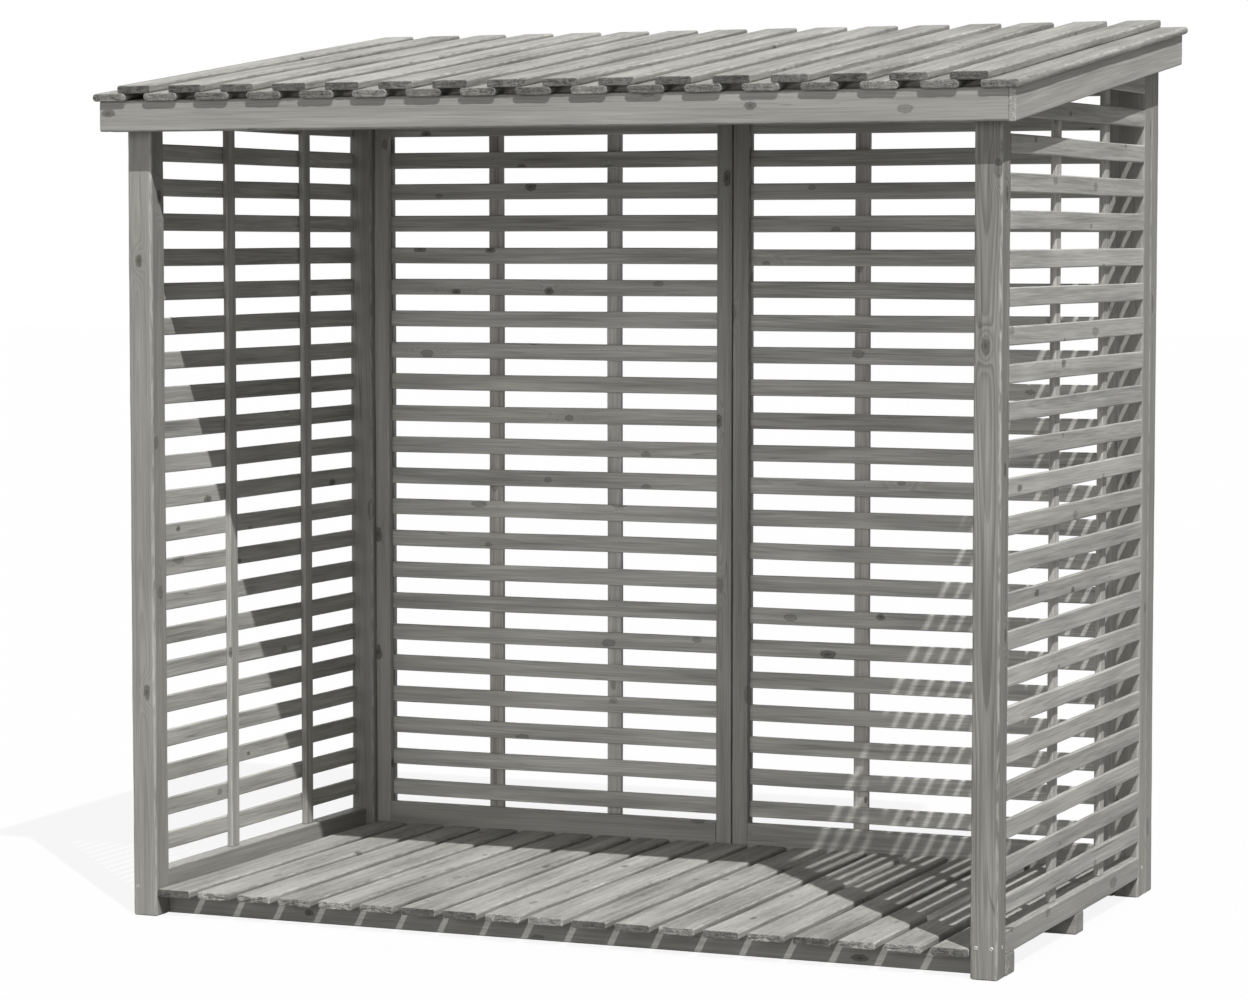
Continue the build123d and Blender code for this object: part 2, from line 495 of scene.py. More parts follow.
    def keep(self, ring: np.ndarray, place: np.ndarray, mark: np.ndarray, tone: np.ndarray, reach: np.ndarray,
             girth: np.ndarray) -> None:
        """Join the sections of one timber into closed faces and keep all its values.

        Args:
            ring: Points, one row a section.
            place: Each point's place in the tree.
            mark: Each point's worn edge and sawn end.
            tone: The board's lightness, tint and own number.
            reach: Each point's distance along the timber.
            girth: Distance round the section, with the way round as its last value.
        """
        rows, columns = ring.shape[:2]
        j = np.arange(columns)
        k = (j + 1) % columns
        i = np.arange(rows - 1)[:, None]
        here, there = i * columns, (i + 1) * columns
        sides = np.stack([here + j, here + k, there + k, there + j], axis=2)
        near, far = rows * columns, rows * columns + 1
        top = (rows - 1) * columns
        near_cap = np.stack([k, j, np.full(columns, near)], axis=1)
        far_cap = np.stack([top + j, top + k, np.full(columns, far)], axis=1)

        whole = [np.concatenate((values.reshape(-1, 3), values[[0, -1]].mean(axis=1)))
                 for values in (ring, place, mark)]
        low, high = girth[:-1], girth[1:]
        around = np.stack([np.broadcast_to(edge, (rows - 1, columns)) for edge in (low, high)], axis=2)
        side_skin = np.stack([
            np.stack([reach[:-1], reach[:-1][:, k], reach[1:][:, k], reach[1:]], axis=2),
            around[:, :, [0, 1, 1, 0]],
        ], axis=3)
        near_skin = np.stack([np.stack([reach[0, k], reach[0], reach[0]], axis=1),
                              np.stack([high, low, low], axis=1)], axis=2)
        far_skin = np.stack([np.stack([reach[-1], reach[-1, k], reach[-1]], axis=1),
                             np.stack([low, high, low], axis=1)], axis=2)

        self.points.append(whole[0])
        self.place.append(whole[1])
        self.mark.append(whole[2])
        self.board.append(np.broadcast_to(tone, whole[0].shape))
        self.loops += [(faces + self.count).ravel() for faces in (sides, near_cap, far_cap)]
        self.sides += [np.full(sides.shape[0] * columns, 4), np.full(2 * columns, 3)]
        self.skin += [values.reshape(-1, 2) for values in (side_skin, near_skin, far_skin)]
        self.count += len(whole[0])

    def build(self) -> bpy.types.Object:
        """Put the arrays into a mesh, with the grain's values as its attributes.

        Returns:
            The piece's object, linked to the scene.
        """
        return mesh_object(
            self.name,
            np.concatenate(self.points),
            np.concatenate(self.loops),
            np.concatenate(self.sides),
            vectors={"place": np.concatenate(self.place), "board": np.concatenate(self.board),
                     "mark": np.concatenate(self.mark)},
            skin=np.concatenate(self.skin),
        )


def mesh_object(name: str, points: np.ndarray, loops: np.ndarray, sides: np.ndarray,
                vectors: Optional[dict[str, np.ndarray]] = None,
                skin: Optional[np.ndarray] = None) -> bpy.types.Object:
    """Make an object at the origin from whole arrays.

    Args:
        name: Name of the object and its mesh.
        points: Vertices, one row each.
        loops: Vertex numbers of all faces, one after the other.
        sides: How many vertices each face has.
        vectors: Values to keep on the vertices, by name.
        skin: Places along and around the timbers, one row a face corner.

    Returns:
        The object, linked to the scene.
    """
    mesh = bpy.data.meshes.new(name)
    mesh.vertices.add(len(points))
    mesh.vertices.foreach_set("co", points.astype(np.float32).ravel())
    mesh.loops.add(len(loops))
    mesh.loops.foreach_set("vertex_index", loops.astype(np.int32))
    mesh.polygons.add(len(sides))
    starts = np.concatenate(([0], np.cumsum(sides)[:-1]))
    mesh.polygons.foreach_set("loop_start", starts.astype(np.int32))
    mesh.update(calc_edges=True)
    mesh.shade_smooth()
    mesh.set_sharp_from_angle(angle=SHARP_ANGLE)
    for key, values in (vectors or {}).items():
        attribute = mesh.attributes.new(key, "FLOAT_VECTOR", "POINT")
        attribute.data.foreach_set("vector", values.astype(np.float32).ravel())
    if skin is not None:
        layer = mesh.uv_layers.new(name="skin")
        layer.uv.foreach_set("vector", skin.astype(np.float32).ravel())
    made = bpy.data.objects.new(name, mesh)
    bpy.context.scene.collection.objects.link(made)
    return made


Number = Union[float, "Value"]


class Value:
    """A shader value that takes Python's operators and adds a Math node for each."""

    def __init__(self, graph: "Graph", socket: bpy.types.NodeSocket) -> None:
        """Wrap an output socket."""
        self.graph, self.socket = graph, socket

    def math(self, operation: str, *others: Number) -> "Value":
        """A Math node on this value and others."""
        return self.graph.math(operation, self, *others)

    def __add__(self, other: Number) -> "Value":
        """Sum."""
        return self.math("ADD", other)

    def __sub__(self, other: Number) -> "Value":
        """Difference."""
        return self.math("SUBTRACT", other)

    def __rsub__(self, other: Number) -> "Value":
        """Difference from a number."""
        return self.graph.math("SUBTRACT", other, self)

    def __mul__(self, other: Number) -> "Value":
        """Product."""
        return self.math("MULTIPLY", other)

    def __truediv__(self, other: Number) -> "Value":
        """Quotient."""
        return self.math("DIVIDE", other)

    def __gt__(self, other: Number) -> "Value":
        """1 where this is greater, otherwise 0."""
        return self.math("GREATER_THAN", other)

    def __pow__(self, other: Number) -> "Value":
        """Power."""
        return self.math("POWER", other)

    __radd__, __rmul__ = __add__, __mul__

    def smooth(self, low: Number, high: Number, start: float = 0.0, end: float = 1.0) -> "Value":
        """A smooth step from start to end as this value goes from low to high."""
        inputs = {"Value": self, "From Min": low, "From Max": high, "To Min": start, "To Max": end}
        return self.graph.value("MapRange", {"interpolation_type": "SMOOTHSTEP"}, inputs, "Result")


class Graph:
    """A node tree that is filled by expressions."""

    def __init__(self, tree: bpy.types.NodeTree) -> None:
        """Empty the tree and keep it."""
        tree.nodes.clear()
        self.tree = tree

    def node(self, kind: str, settings: Optional[dict[str, Any]] = None,
             inputs: Optional[dict[Union[str, int], Any]] = None) -> bpy.types.Node:
        """Add a node.

        Args:
            kind: The node's type, without ShaderNode.
            settings: Its settings, which are set first.
            inputs: Values or links for its sockets.

        Returns:
            The node.
        """
        made = self.tree.nodes.new("ShaderNode" + kind)
        for key, value in (settings or {}).items():
            setattr(made, key, value)
        for key, value in (inputs or {}).items():
            if isinstance(value, Value):
                self.tree.links.new(value.socket, made.inputs[key])
            else:
                made.inputs[key].default_value = value
        return made

    def value(self, kind: str, settings: Optional[dict[str, Any]] = None,
              inputs: Optional[dict[Union[str, int], Any]] = None, output: Union[str, int] = 0) -> Value:
        """Add a node and wrap one of its outputs."""
        return Value(self, self.node(kind, settings, inputs).outputs[output])

    def math(self, operation: str, *values: Number) -> Value:
        """A Math node on one to three values."""
        return self.value("Math", {"operation": operation}, dict(enumerate(values)))

    def vector(self, operation: str, *values: Any) -> Value:
        """A Vector Math node on one or two vectors."""
        output = "Value" if operation == "LENGTH" else "Vector"
        return self.value("VectorMath", {"operation": operation}, dict(enumerate(values)), output)

    def split(self, vector: Value) -> tuple[Value, Value, Value]:
        """The three numbers of a vector."""
        made = self.node("SeparateXYZ", None, {0: vector})
        return tuple(Value(self, socket) for socket in made.outputs)

    def join(self, x: Number, y: Number, z: Number = 0.0) -> Value:
        """A vector from three numbers."""
        return self.value("CombineXYZ", None, {0: x, 1: y, 2: z})

    def attribute(self, name: str) -> Value:
        """A vector that the mesh keeps under this name."""
        return self.value("Attribute", {"attribute_name": name}, None, "Vector")

    def noise(self, place: Value, grain: Triple, detail: float = 0.0, output: str = "Fac") -> Value:
        """Noise at a place, with so many features to the metre along each axis."""
        inputs = {"Vector": self.vector("MULTIPLY", place, grain), "Scale": 1.0, "Detail": detail}
        return self.value("TexNoise", {"noise_dimensions": "3D"}, inputs, output)

    def mix(self, factor: Number, low: Any, high: Any, blend: str = "MIX") -> Value:
        """A colour between two others."""
        return self.value("Mix", {"data_type": "RGBA", "blend_type": blend}, {0: factor, 6: low, 7: high}, 2)


def between(span: Span, share: Value) -> Value:
    """The value that lies a share of the way along a span."""
    low, high = span
    return low + share * (high - low)


def blank(name: str) -> tuple[bpy.types.Material, Graph]:
    """Start a material.

    Args:
        name: Its name.

    Returns:
        The material and its empty graph.
    """
    made = bpy.data.materials.new(name)
    made.use_nodes = True
    return made, Graph(made.node_tree)


def grey(level: float, warmth: float = 1.0) -> tuple[float, float, float, float]:
    """Linear colour of a grey given as a screen value from 0 to 255, a little warmer than neutral.

    Args:
        level: Screen value of the red channel.
        warmth: How far blue stays behind, where 1 is the timber's own tint.

    Returns:
        Red, green, blue and alpha.
    """
    screen = np.array([level, level - warmth, level - BLUE_LAG * warmth]) / SCREEN_MOST
    linear = ((screen + SCREEN_LIFT) / (1 + SCREEN_LIFT)) ** SCREEN_POWER
    return (*map(float, linear), 1.0)


@dataclass(frozen=True)
class WeatheredWood:
    """Finish of grey softwood with growth rings, streaks, knots, pale edges and sawn ends.

    Attributes:
        name: Name of the material.
        slot: The record's slot that it stands for.
        early: Screen grey of the soft early wood.
        late: Screen grey of the hard late wood.
        ring: Width of a growth ring, in metres.
        contrast: How strongly the late wood shows.
        streaks: Strength of the streaks along the grain.
        fibre: Strength of the fine fibres along the grain.
        mottle: Strength of the broad weathered patches.
        knots: Share of the knot cells that hold a knot.
        knot_size: Smallest and largest half width of a knot, in metres.
        wear: How pale the worn edges are.
        spread: How far boards differ in tone.
        fleck: Strength of the torn pale fibres.
        end_dark: Tone of a dark sawn end.
        end_pale: Tone of a torn pale sawn end.
        relief: Depth of the grain, in metres.
    """

    name: str
    slot: str
    early: float = 166.0
    late: float = 126.0
    ring: float = 0.0042
    contrast: float = 0.55
    streaks: float = 0.30
    fibre: float = 0.4
    mottle: float = 0.18
    knots: float = 0.42
    knot_size: Span = (0.0045, 0.0095)
    wear: float = 0.45
    spread: float = 0.05
    fleck: float = 0.0
    end_dark: float = 0.66
    end_pale: float = 0.92
    relief: float = 0.0012

    # Features of each noise to the metre: along the timber, across it and up, and detail of the sharper ones.
    STREAK_GRAIN: ClassVar[Triple] = (1.7, 55.0, 55.0)
    FIBRE_GRAIN: ClassVar[Triple] = (7.0, 240.0, 240.0)
    MOTTLE_GRAIN: ClassVar[Triple] = (3.1, 15.0, 15.0)
    WORN_GRAIN: ClassVar[Triple] = (26.0, 190.0, 190.0)
    CRACK_GRAIN: ClassVar[Triple] = (0.9, 46.0, 46.0)
    FLECK_GRAIN: ClassVar[Triple] = (22.0, 120.0, 120.0)
    STRAY_GRAIN: ClassVar[Triple] = (2.3, 11.0, 11.0)
    END_GRAIN: ClassVar[Triple] = (30.0, 60.0, 60.0)
    KNOT_GRAIN: ClassVar[Triple] = (110.0, 110.0, 9.0)
    SHARPER: ClassVar[float] = 1.0

    # Knots: a cell's size along and around the timber, and how far the rings bend round a knot, in metres.
    KNOT_CELL: ClassVar[Triple] = (0.36, 0.105, 1.0)
    KNOT_FLOW: ClassVar[Span] = (0.046, 0.017)
    # How far a knot pushes the rings, where its heart fades and where its rim lies, as shares of its radius.
    KNOT_PUSH: ClassVar[float] = 1.5
    HEART_EDGE: ClassVar[Span] = (0.3, 1.1)
    RIM_PLACE: ClassVar[float] = 0.92
    RIM_WIDTH: ClassVar[float] = 0.42
    # Its width as a share of its length, how ragged its outline is, and how dark a live and a dead knot are.
    KNOT_SQUEEZE: ClassVar[Span] = (0.36, 0.72)
    KNOT_RAGGED: ClassVar[Span] = (0.7, 1.3)
    HEART_DARK: ClassVar[Span] = (0.42, 0.8)
    RIM_DARK: ClassVar[Span] = (0.48, 0.68)
    # The share of dead knots, and the factor that makes a second number of a knot's shape.
    DEAD_SHARE: ClassVar[float] = 0.4
    SHAPE_STEP: ClassVar[float] = 9.7

    # Growth rings: how far they stray, in metres, the late wood's edges in a ring, and how strong a year is.
    STRAY: ClassVar[float] = 0.009
    LATE_RISE: ClassVar[Span] = (0.15, 0.85)
    LATE_FALL: ClassVar[Span] = (0.88, 1.0)
    YEARS: ClassVar[Span] = (0.35, 1.0)

    # Values of a noise between which something sets in: torn and patchy ends, cracks, flecks and worn edges.
    END_TORN: ClassVar[Span] = (0.42, 0.58)
    END_PATCHY: ClassVar[Span] = (0.35, 0.62)
    END_PITTED: ClassVar[Span] = (0.3, 0.6)
    CRACKED: ClassVar[Span] = (0.56, 0.68)
    FLECK_PALE: ClassVar[Span] = (0.60, 0.72)
    FLECK_DARK: ClassVar[Span] = (0.40, 0.30)
    WORN: ClassVar[Span] = (0.38, 0.6)
    CRACK_WIDTH: ClassVar[float] = 0.012

    # Screen greys, warmth and strength of what lies over the plain wood.
    KNOT_TONE: ClassVar[float] = 70.0
    RIM_TONE: ClassVar[float] = 78.0
    KNOT_WARMTH: ClassVar[float] = 1.2
    WORN_TONE: ClassVar[float] = 196.0
    TINT_STEP: ClassVar[float] = 16.0
    TINT_WARMTH: ClassVar[float] = 1.7
    TINT_MEAN: ClassVar[float] = 0.2
    TINT_SPREAD: ClassVar[float] = 0.1
    CRACK_DARK: ClassVar[float] = 0.4
    PIT_TONE: ClassVar[float] = 0.72
    PATCH_SHARES: ClassVar[Span] = (0.45, 1.0)

    # Relief of streaks and fibres, what sawn ends add to it, and how the surface shines.
    STREAK_RELIEF: ClassVar[float] = 0.5
    FIBRE_RELIEF: ClassVar[float] = 0.5
    END_RELIEF: ClassVar[float] = 0.3
    BUMP: ClassVar[float] = 0.7
    ROUGHNESS: ClassVar[float] = 0.78
    FIBRE_ROUGHNESS: ClassVar[float] = 0.2
    LATE_POLISH: ClassVar[float] = 0.06
    SPECULAR: ClassVar[float] = 0.28

    def knot(self, g: Graph) -> tuple[Value, Value, Value]:
        """Knots scattered over the timber's skin, one at most in each cell, oval along the grain.

        Args:
            g: The material's graph.

        Returns:
            How dark the knot's heart and its rim are, and how far it pushes the growth rings aside,
            in metres.
        """
        scaled = g.vector("DIVIDE", g.value("UVMap", {"uv_map": "skin"}), self.KNOT_CELL)
        cells = g.node("TexVoronoi", {"voronoi_dimensions": "2D", "feature": "F1"},
                       {"Vector": scaled, "Scale": 1.0})
        outputs = {socket.name: Value(g, socket) for socket in cells.outputs}
        chance, size, shape = g.split(outputs["Color"])
        offset = g.vector("MULTIPLY", g.vector("SUBTRACT", scaled, outputs["Position"]), self.KNOT_CELL)
        along, around, _ = g.split(offset)
        held = chance > 1.0 - self.knots
        radius = between(self.knot_size, size)
        squeeze = between(self.KNOT_SQUEEZE, shape)
        dead = (shape * self.SHAPE_STEP).math("FRACT") > 1.0 - self.DEAD_SHARE
        ragged = between(self.KNOT_RAGGED, g.noise(g.join(along, around, size), self.KNOT_GRAIN))
        distance = g.vector("LENGTH", g.join(along * squeeze, around)) * ragged
        inner, outer = (radius * share for share in self.HEART_EDGE)
        heart = held * between(self.HEART_DARK, dead) * distance.smooth(inner, outer, 1.0, 0.0)
        gap = (distance - radius * self.RIM_PLACE).math("ABSOLUTE")
        rim = held * between(self.RIM_DARK, dead) * gap.smooth(0.0, radius * self.RIM_WIDTH, 1.0, 0.0)
        reach, spread = self.KNOT_FLOW
        falloff = (along / reach) ** 2.0 + (around / spread) ** 2.0
        push = held * (falloff * -1.0).math("EXPONENT") * (radius * self.KNOT_PUSH)
        return heart, rim, push

    def rings(self, g: Graph, place: Value, push: Value) -> Value:
        """Late wood of the growth rings: the distance from the heart, counted in rings.

        Args:
            g: The material's graph.
            place: Place in the tree.
            push: How far knots push the rings aside.

        Returns:
            0 in early wood, rising to 1 at the hard edge of each ring.
        """
        _, across, up = g.split(place)
        stray = g.vector("SUBTRACT", g.noise(place, self.STRAY_GRAIN, output="Color"), (MIDDLE,) * 3)
        stray_a, stray_b, stray_c = g.split(stray)
        distance = g.vector("LENGTH", g.join(across + stray_a * self.STRAY, up + stray_b * self.STRAY))
        count = (distance + push + stray_c * self.STRAY / 2) / self.ring
        part = count.math("FRACT")
        year = g.value("TexWhiteNoise", {"noise_dimensions": "1D"}, {"W": count.math("FLOOR")}, "Value")
        late = part.smooth(*self.LATE_RISE) * part.smooth(*self.LATE_FALL, 1.0, 0.0)
        return late * between(self.YEARS, year)

    def sawn_end(self, g: Graph, place: Value, fine: Value, seed: Value) -> Value:
        """Tone of a sawn end: dark on some boards, torn and pale on others, with pits.

        Args:
            g: The material's graph.
            place: Place in the tree.
            fine: The fine fibres, which show as pits where they are cut.
            seed: The board's own number.

        Returns:
            Factor on the colour.
        """
        pale = torn_share(seed).math("FRACT").smooth(*self.END_TORN)
        patch = g.noise(place, self.END_GRAIN).smooth(*self.END_PATCHY)
        pits = fine.smooth(*self.END_PITTED, self.PIT_TONE, 1.0)
        return between((self.end_dark, self.end_pale), pale * between(self.PATCH_SHARES, patch)) * pits

    def material(self) -> bpy.types.Material:
        """Build the material.

        Returns:
            The material, whose pattern follows each timber's own length.
        """
        made, g = blank(self.name)
        place = g.attribute("place")
        tone, tint, seed = g.split(g.attribute("board"))
        crest, end, _ = g.split(g.attribute("mark"))
        side = 1.0 - end

        knot, rim, push = self.knot(g)
        late = self.rings(g, place, push)
        broad = g.noise(place, self.STREAK_GRAIN, self.SHARPER)
        fine = g.noise(place, self.FIBRE_GRAIN, self.SHARPER)
        patch = g.noise(place, self.MOTTLE_GRAIN)
        ragged = g.noise(place, self.WORN_GRAIN)
        crack = (g.noise(place, self.CRACK_GRAIN) - MIDDLE).math("ABSOLUTE")
        crack = crack.smooth(0.0, self.CRACK_WIDTH, 1.0, 0.0) * patch.smooth(*self.CRACKED) * side

        light = 1.0 + (broad - MIDDLE) * (2.0 * self.streaks) + (fine - MIDDLE) * self.fibre
        light = light + (patch - MIDDLE) * (2.0 * self.mottle) + tone * self.spread
        light = light * (1.0 - crack * self.CRACK_DARK)
        if self.fleck:
            torn = g.noise(place, self.FLECK_GRAIN, self.SHARPER)
            pale, dark = torn.smooth(*self.FLECK_PALE), torn.smooth(*self.FLECK_DARK)
            light = light + pale * self.fleck - dark * self.fleck
        shade = light * (side + end * self.sawn_end(g, place, fine, seed))

        colour = g.mix(late * self.contrast, grey(self.early), grey(self.late))
        tinted = (tint * self.TINT_SPREAD + self.TINT_MEAN).math("MAXIMUM", 0.0)
        colour = g.mix(tinted, colour, grey(self.early - self.TINT_STEP, self.TINT_WARMTH))
        colour = g.mix(knot * side, colour, grey(self.KNOT_TONE, self.KNOT_WARMTH))
        colour = g.mix(rim * side, colour, grey(self.RIM_TONE, self.KNOT_WARMTH))
        worn = crest * ragged.smooth(*self.WORN) * self.wear
        colour = g.mix(worn, colour, grey(self.WORN_TONE))
        colour = g.mix(1.0, colour, g.join(shade, shade, shade), "MULTIPLY")

        height = fine * (end * self.END_RELIEF + self.FIBRE_RELIEF) + broad * self.STREAK_RELIEF
        bump = g.value("Bump", None,
                       {"Strength": self.BUMP, "Distance": self.relief, "Height": height}, "Normal")
        roughness = self.ROUGHNESS + (fine - MIDDLE) * self.FIBRE_ROUGHNESS - late * self.LATE_POLISH
        shader = g.value("BsdfPrincipled", None, {
            "Base Color": colour,
            "Roughness": roughness.math("MINIMUM", 1.0),
            "Normal": bump,
            "Specular IOR Level": self.SPECULAR,
        })
        g.node("OutputMaterial", None, {"Surface": shader})
        return made


@dataclass(frozen=True)
class DullMetal:
    """Finish of plated screws and nails that have stood in the rain.

    Attributes:
        name: Name of the material.
        bright: Screen grey of the plating.
        stain: Screen grey of the stains.
        grain: Features of the stains to the metre.
        edge: Values of their noise between which they set in.
        warmth: Warmth of the plating and of the stains.
        roughness: Roughness of the plating and of the stains.
        metallic: How far it shines as bare metal does.
    """

    name: str
    bright: float = 214.0
    stain: float = 128.0
    grain: Triple = (700.0, 700.0, 700.0)
    edge: Span = (0.4, 0.62)
    warmth: Span = (0.6, 2.6)
    roughness: Span = (0.38, 0.68)
    metallic: float = 0.55

    def material(self) -> bpy.types.Material:
        """Build the material.

        Returns:
            The material, plating with stains about a millimetre wide.
        """
        made, g = blank(self.name)
        stained = g.noise(g.value("TexCoord", None, None, "Object"), self.grain).smooth(*self.edge)
        plating, stains = self.warmth
        colour = g.mix(stained, grey(self.bright, plating), grey(self.stain, stains))
        rough = between(self.roughness, stained)
        shader = g.value("BsdfPrincipled", None,
                         {"Base Color": colour, "Metallic": self.metallic, "Roughness": rough})
        g.node("OutputMaterial", None, {"Surface": shader})
        return made


POST_WOOD = WeatheredWood(
    "grey_post_timber", "frame_timber", early=158.0, late=116.0, ring=0.0033, contrast=0.42, streaks=0.2,
    knots=0.6, knot_size=(0.007, 0.011), end_dark=0.9, end_pale=1.1,
)
RIGHT_POST_WOOD = replace(
    POST_WOOD, name="grey_right_post_timber", early=145.0, late=84.0, contrast=0.66, streaks=0.3, fibre=0.7,
)
FRAME_WOOD = WeatheredWood(
    "grey_frame_timber", "frame_timber", early=168.0, contrast=0.5, streaks=0.24,
    knots=0.55, knot_size=(0.007, 0.012), end_dark=0.95, end_pale=1.18,
)
SLAT_WOOD = WeatheredWood(
    "grey_slat_timber", "slat_timber", early=181.0, late=140.0, ring=0.0027, contrast=0.5, streaks=0.4,
    fibre=0.8, mottle=0.22, knots=0.5, knot_size=(0.0045, 0.0105), spread=0.065,
)
# Paler than the side walls' slats: painted light, standing in for the brighter shade on the back wall.
LIT_BACK_SLAT_WOOD = replace(SLAT_WOOD, name="grey_back_slat_timber", early=190.0, late=148.0)
FASCIA_WOOD = WeatheredWood(
    "grey_fascia_board", "board_timber", early=157.0, late=126.0, ring=0.0034, contrast=0.3, streaks=0.3,
    fibre=0.5, mottle=0.14, knots=0.36, end_dark=0.98, end_pale=1.04,
)
# Paler than the fascia's finish: painted sunlight for the sunlit side of the right barge board, given to both
# barge boards; the stronger rings are the boards' own grain.
SUNLIT_BARGE_WOOD = replace(FASCIA_WOOD, name="grey_barge_board", early=186.0, late=138.0, contrast=0.42)
FLOOR_WOOD = WeatheredWood(
    "grey_floor_board", "board_timber", early=168.0, late=131.0, streaks=0.4, mottle=0.34,
    fleck=0.18, spread=0.06, end_dark=0.42, end_pale=1.05, relief=0.002,
)
ROOF_WOOD = WeatheredWood(
    "grey_roof_board", "roof_timber", early=161.0, late=116.0, streaks=0.42, mottle=0.3,
    fleck=0.2, spread=0.06, end_dark=0.66, end_pale=0.96, relief=0.002,
)
UPPER_ROOF_WOOD = replace(ROOF_WOOD, name="grey_upper_roof_board", end_dark=0.46, end_pale=0.72)
PLATED = DullMetal("plated_steel")


def dress(made: bpy.types.Object, finish: Union[WeatheredWood, DullMetal]) -> None:
    """Give an object its finish, as one material for all objects that share it."""
    made.data.materials.append(bpy.data.materials.get(finish.name) or finish.material())


@dataclass
class Timberwork:
    """Sub-assembly of timbers: it makes pieces, gives each its finish and joins it to the frame.

    Attributes:
        finish: Finish of its timbers.
        stock: Kind of its timbers.
    """

    finish: WeatheredWood
    stock: Stock

    FRONT_TO_BACK: ClassVar[np.ndarray] = np.array([Y_AXIS, Z_AXIS, X_AXIS])
    SIDE_TO_SIDE: ClassVar[np.ndarray] = np.array([X_AXIS, Y_AXIS, Z_AXIS])
    UPRIGHT: ClassVar[np.ndarray] = np.array([Z_AXIS, X_AXIS, Y_AXIS])

    @staticmethod
    def seat(low: np.ndarray, high: np.ndarray, axes: np.ndarray) -> tuple[np.ndarray, np.ndarray]:
        """Where a timber that fills a box begins, and its section.

        Args:
            low: The box's lowest corner along the axes.
            high: Its highest corner.
            axes: Length, first and second axis of the section.

        Returns:
            Middle of the near end, and the section's corners.
        """
        middle = (low + high) / 2
        return np.array([low[0], middle[1], middle[2]]) @ axes, rectangle(*(high - low)[1:])

    def bars(self, node: str, axes: np.ndarray, under_roof: bool = False) -> list[Bar]:
        """Square-ended timbers in the places of a node's solids.

        Args:
            node: Name of the node.
            axes: Length, first and second axis of the section.
            under_roof: Whether the roof cuts the timbers along their length.

        Returns:
            One timber for each solid.
        """
        found = []
        for low, high in solid_boxes(node, axes):
            start, section = self.seat(low, high, axes)
            found.append(Bar(start, *axes, float(high[0] - low[0]), section, under_roof=under_roof))
        return found

    def uprights(self, node: str) -> list[Bar]:
        """Upright timbers whose top is cut to the roof's slope.

        Args:
            node: Name of the node.

        Returns:
            One timber for each solid.
        """
        found = []
        for low, high in solid_boxes(node, self.UPRIGHT):
            start, section = self.seat(low, high, self.UPRIGHT)
            length = float(ROOF.under((low[2] + high[2]) / 2) - low[0])
            found.append(Bar(start, *self.UPRIGHT, length, section, far_skew=(0.0, ROOF.rise)))
        return found

    def sloped_tops(self, node: str) -> list[Bar]:
        """Timbers from side to side whose top follows the roof's slope.

        Args:
            node: Name of the node.

        Returns:
            One timber for each solid.
        """
        found = []
        for low, high in solid_boxes(node, self.SIDE_TO_SIDE):
            front, back, foot = low[1], high[1], low[2]
            tops = ROOF.under(front), ROOF.under(back)
            corners = np.array([[front, foot], [back, foot], [back, tops[1]], [front, tops[0]]])
            middle = (corners.min(axis=0) + corners.max(axis=0)) / 2
            start = np.array([low[0], *middle])
            found.append(Bar(start, *self.SIDE_TO_SIDE, float(high[0] - low[0]), corners - middle))
        return found

    def piece(self, node: str, bars: Sequence[Bar]) -> bpy.types.Object:
        """Make the piece that stands for a node.

        Args:
            node: Name of the node.
            bars: The piece's timbers.

        Returns:
            The dressed piece.
        """
        mesh = TimberMesh(f"{node}_timber", self.stock)
        for bar in bars:
            mesh.add(bar)
        made = mesh.build()
        dress(made, self.finish)
        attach(made, "root")
        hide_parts(node)
        log.info("%s: %d timbers, %d faces", made.name, len(bars), len(made.data.polygons))
        return made


@dataclass
class Posts(Timberwork):
    """The six uprights.

    Attributes:
        rows: Where the pairs of posts stand.
        dark_post: Node of the post from a darker tree.
        dark_finish: Its finish.
    """

    finish: WeatheredWood = POST_WOOD
    stock: Stock = POST_STOCK
    rows: tuple[str, ...] = ("front", "rear", "back")
    dark_post: str = "post_front_right"
    dark_finish: WeatheredWood = RIGHT_POST_WOOD

    def build(self) -> None:
        """Make both posts of each row."""
        darker = Timberwork(self.dark_finish, self.stock)
        for row in self.rows:
            for side in Side:
                node = f"post_{row}_{side.word}"
                maker = darker if node == self.dark_post else self
                maker.piece(node, self.uprights(node))


@dataclass
class FloorFrame(Timberwork):
    """Joists and the bottom rails of the side walls.

    Attributes:
        joists: Nodes of the joists, from front to back.
    """

    finish: WeatheredWood = FRAME_WOOD
    stock: Stock = FRAME_STOCK
    joists: tuple[str, ...] = ("joist_front", "joist_middle", "joist_back")

    def build(self) -> None:
        """Make the joists and then the rails on them."""
        for node in self.joists:
            self.piece(node, self.bars(node, self.SIDE_TO_SIDE))
        for side in Side:
            node = f"{side.word}_wall_rail"
            self.piece(node, self.bars(node, self.FRONT_TO_BACK))


@dataclass
class FloorDeck(Timberwork):
    """Floor boards from front to back, with torn sawn ends."""

    finish: WeatheredWood = FLOOR_WOOD
    stock: Stock = FLOOR_STOCK

    AXES: ClassVar[np.ndarray] = np.array([Y_AXIS, -X_AXIS, Z_AXIS])

    def build(self) -> None:
        """Make the boards."""
        self.piece("floor_boards", self.bars("floor_boards", self.AXES))


@dataclass
class SideWall(Timberwork):
    """Slats and inner battens of one side wall.

    Attributes:
        side: Which wall.
    """

    finish: WeatheredWood = SLAT_WOOD
    stock: Stock = SLAT_STOCK
    side: Side = Side.LEFT

    def build(self) -> None:
        """Make the slats, cut off under the roof, and the battens."""
        slats, battens = f"{self.side.word}_wall_slats", f"{self.side.word}_wall_battens"
        self.piece(slats, self.bars(slats, self.FRONT_TO_BACK, under_roof=True))
        self.piece(battens, self.uprights(battens))


